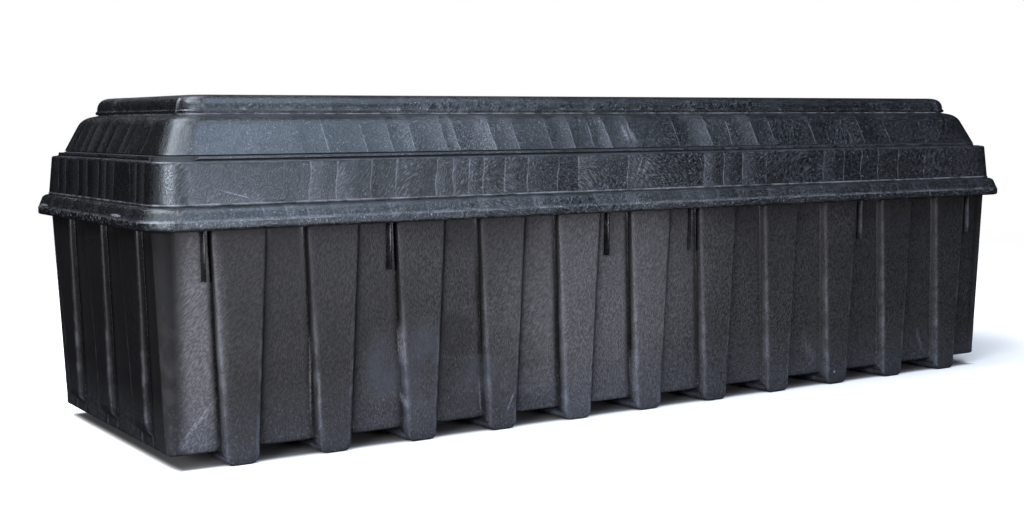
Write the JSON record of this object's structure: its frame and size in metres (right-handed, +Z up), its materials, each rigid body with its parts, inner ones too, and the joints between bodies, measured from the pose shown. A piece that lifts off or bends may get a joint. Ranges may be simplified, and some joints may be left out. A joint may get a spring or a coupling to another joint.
{
  "type": "burial vault",
  "caption": "Long moulded plastic burial vault with ribbed walls, cross runners underneath and a stepped lift-off lid, made to hold a casket in a grave.",
  "frame": {"origin": "on the ground, under the middle of the vault, level with the undersides of the cross runners", "axes": "+X along the length, +Z up, the long sides face -Y and +Y"},
  "size_m": [2.24, 0.764, 0.6788],
  "materials": {
    "base_plastic": "black moulded polyethylene with a fine hair-cell grain, scuffed and dusty",
    "lid_plastic": "black moulded polyethylene with a fine hair-cell grain and upright chill marks, scuffed"
  },
  "bodies": {
    "root": {"vault_base": "base_plastic", "vault_lid": "lid_plastic"}
  },
  "joints": []
}
